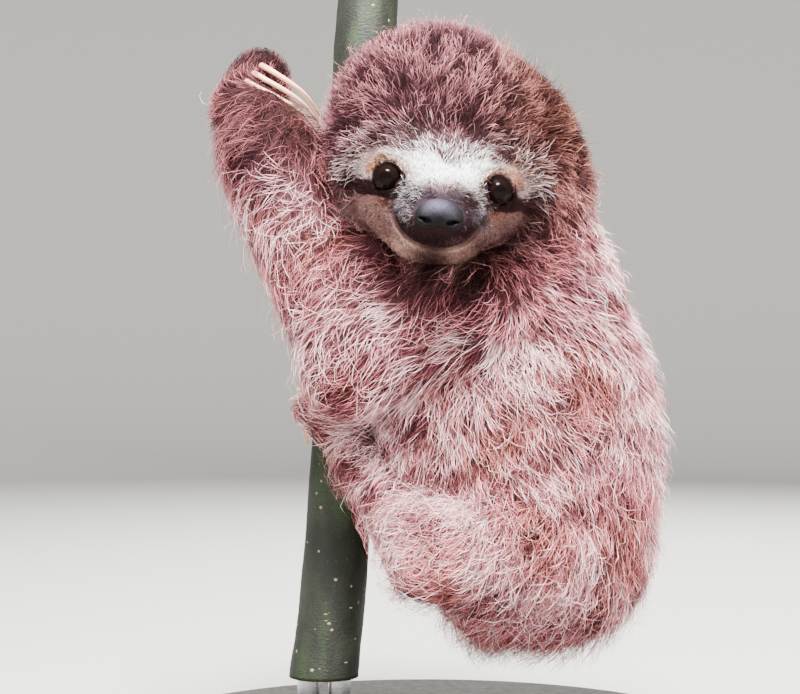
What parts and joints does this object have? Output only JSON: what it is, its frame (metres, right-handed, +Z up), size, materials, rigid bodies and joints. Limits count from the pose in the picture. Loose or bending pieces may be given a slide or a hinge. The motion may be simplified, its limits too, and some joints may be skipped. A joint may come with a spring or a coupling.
{
  "type": "three-toed sloth model",
  "caption": "Still life-size model of a young three-toed sloth clinging with arms and legs to a short upright length of tree stem on a display stand.",
  "frame": {"origin": "centre of the underside of the stand's round base", "axes": "+Z up, -Y the side that the animal's face is turned to, +X towards the animal's back"},
  "size_m": [0.224, 0.224, 0.276],
  "materials": {
    "body_fur": "long wiry coat, dusty rose brown with pale pinkish tips",
    "head_fur": "short dense crown coat, white brow band and dark eye stripes",
    "paw_fur": "short dark brown coat on the paws",
    "ear_skin": "thin dark skin, buried in the coat",
    "eye": "wet dark brown eye",
    "nose_pad": "moist slate black nose leather",
    "claw": "smooth ivory horn, pinkish at the root",
    "bark": "smooth dark green-grey bark with moss and small pale lichen specks",
    "base_lacquer": "dark satin lacquered wood",
    "rod_steel": "satin steel rod"
  },
  "bodies": {
    "root": {"stand_rod_left": "rod_steel", "stand_rod_right": "rod_steel", "stand_base": "base_lacquer", "perch": "bark", "claw_hand_left_low": "claw", "claw_hand_left_middle": "claw", "claw_hand_left_high": "claw", "claw_hand_right_low": "claw", "claw_hand_right_middle": "claw", "claw_hand_right_high": "claw", "claw_foot_left_low": "claw", "claw_foot_left_middle": "claw", "claw_foot_left_high": "claw", "claw_foot_right_low": "claw", "claw_foot_right_middle": "claw", "claw_foot_right_high": "claw", "eye_left": "eye", "eye_right": "eye", "nose": "nose_pad", "ear_left": "ear_skin", "ear_right": "ear_skin", "head": "head_fur", "hand_left": "paw_fur", "hand_right": "paw_fur", "foot_left": "paw_fur", "foot_right": "paw_fur", "forearm_left": "body_fur", "forearm_right": "body_fur", "shank_left": "body_fur", "shank_right": "body_fur", "upper_arm_left": "body_fur", "upper_arm_right": "body_fur", "thigh_left": "body_fur", "thigh_right": "body_fur", "neck": "body_fur", "tail": "body_fur", "torso": "body_fur"}
  },
  "joints": []
}
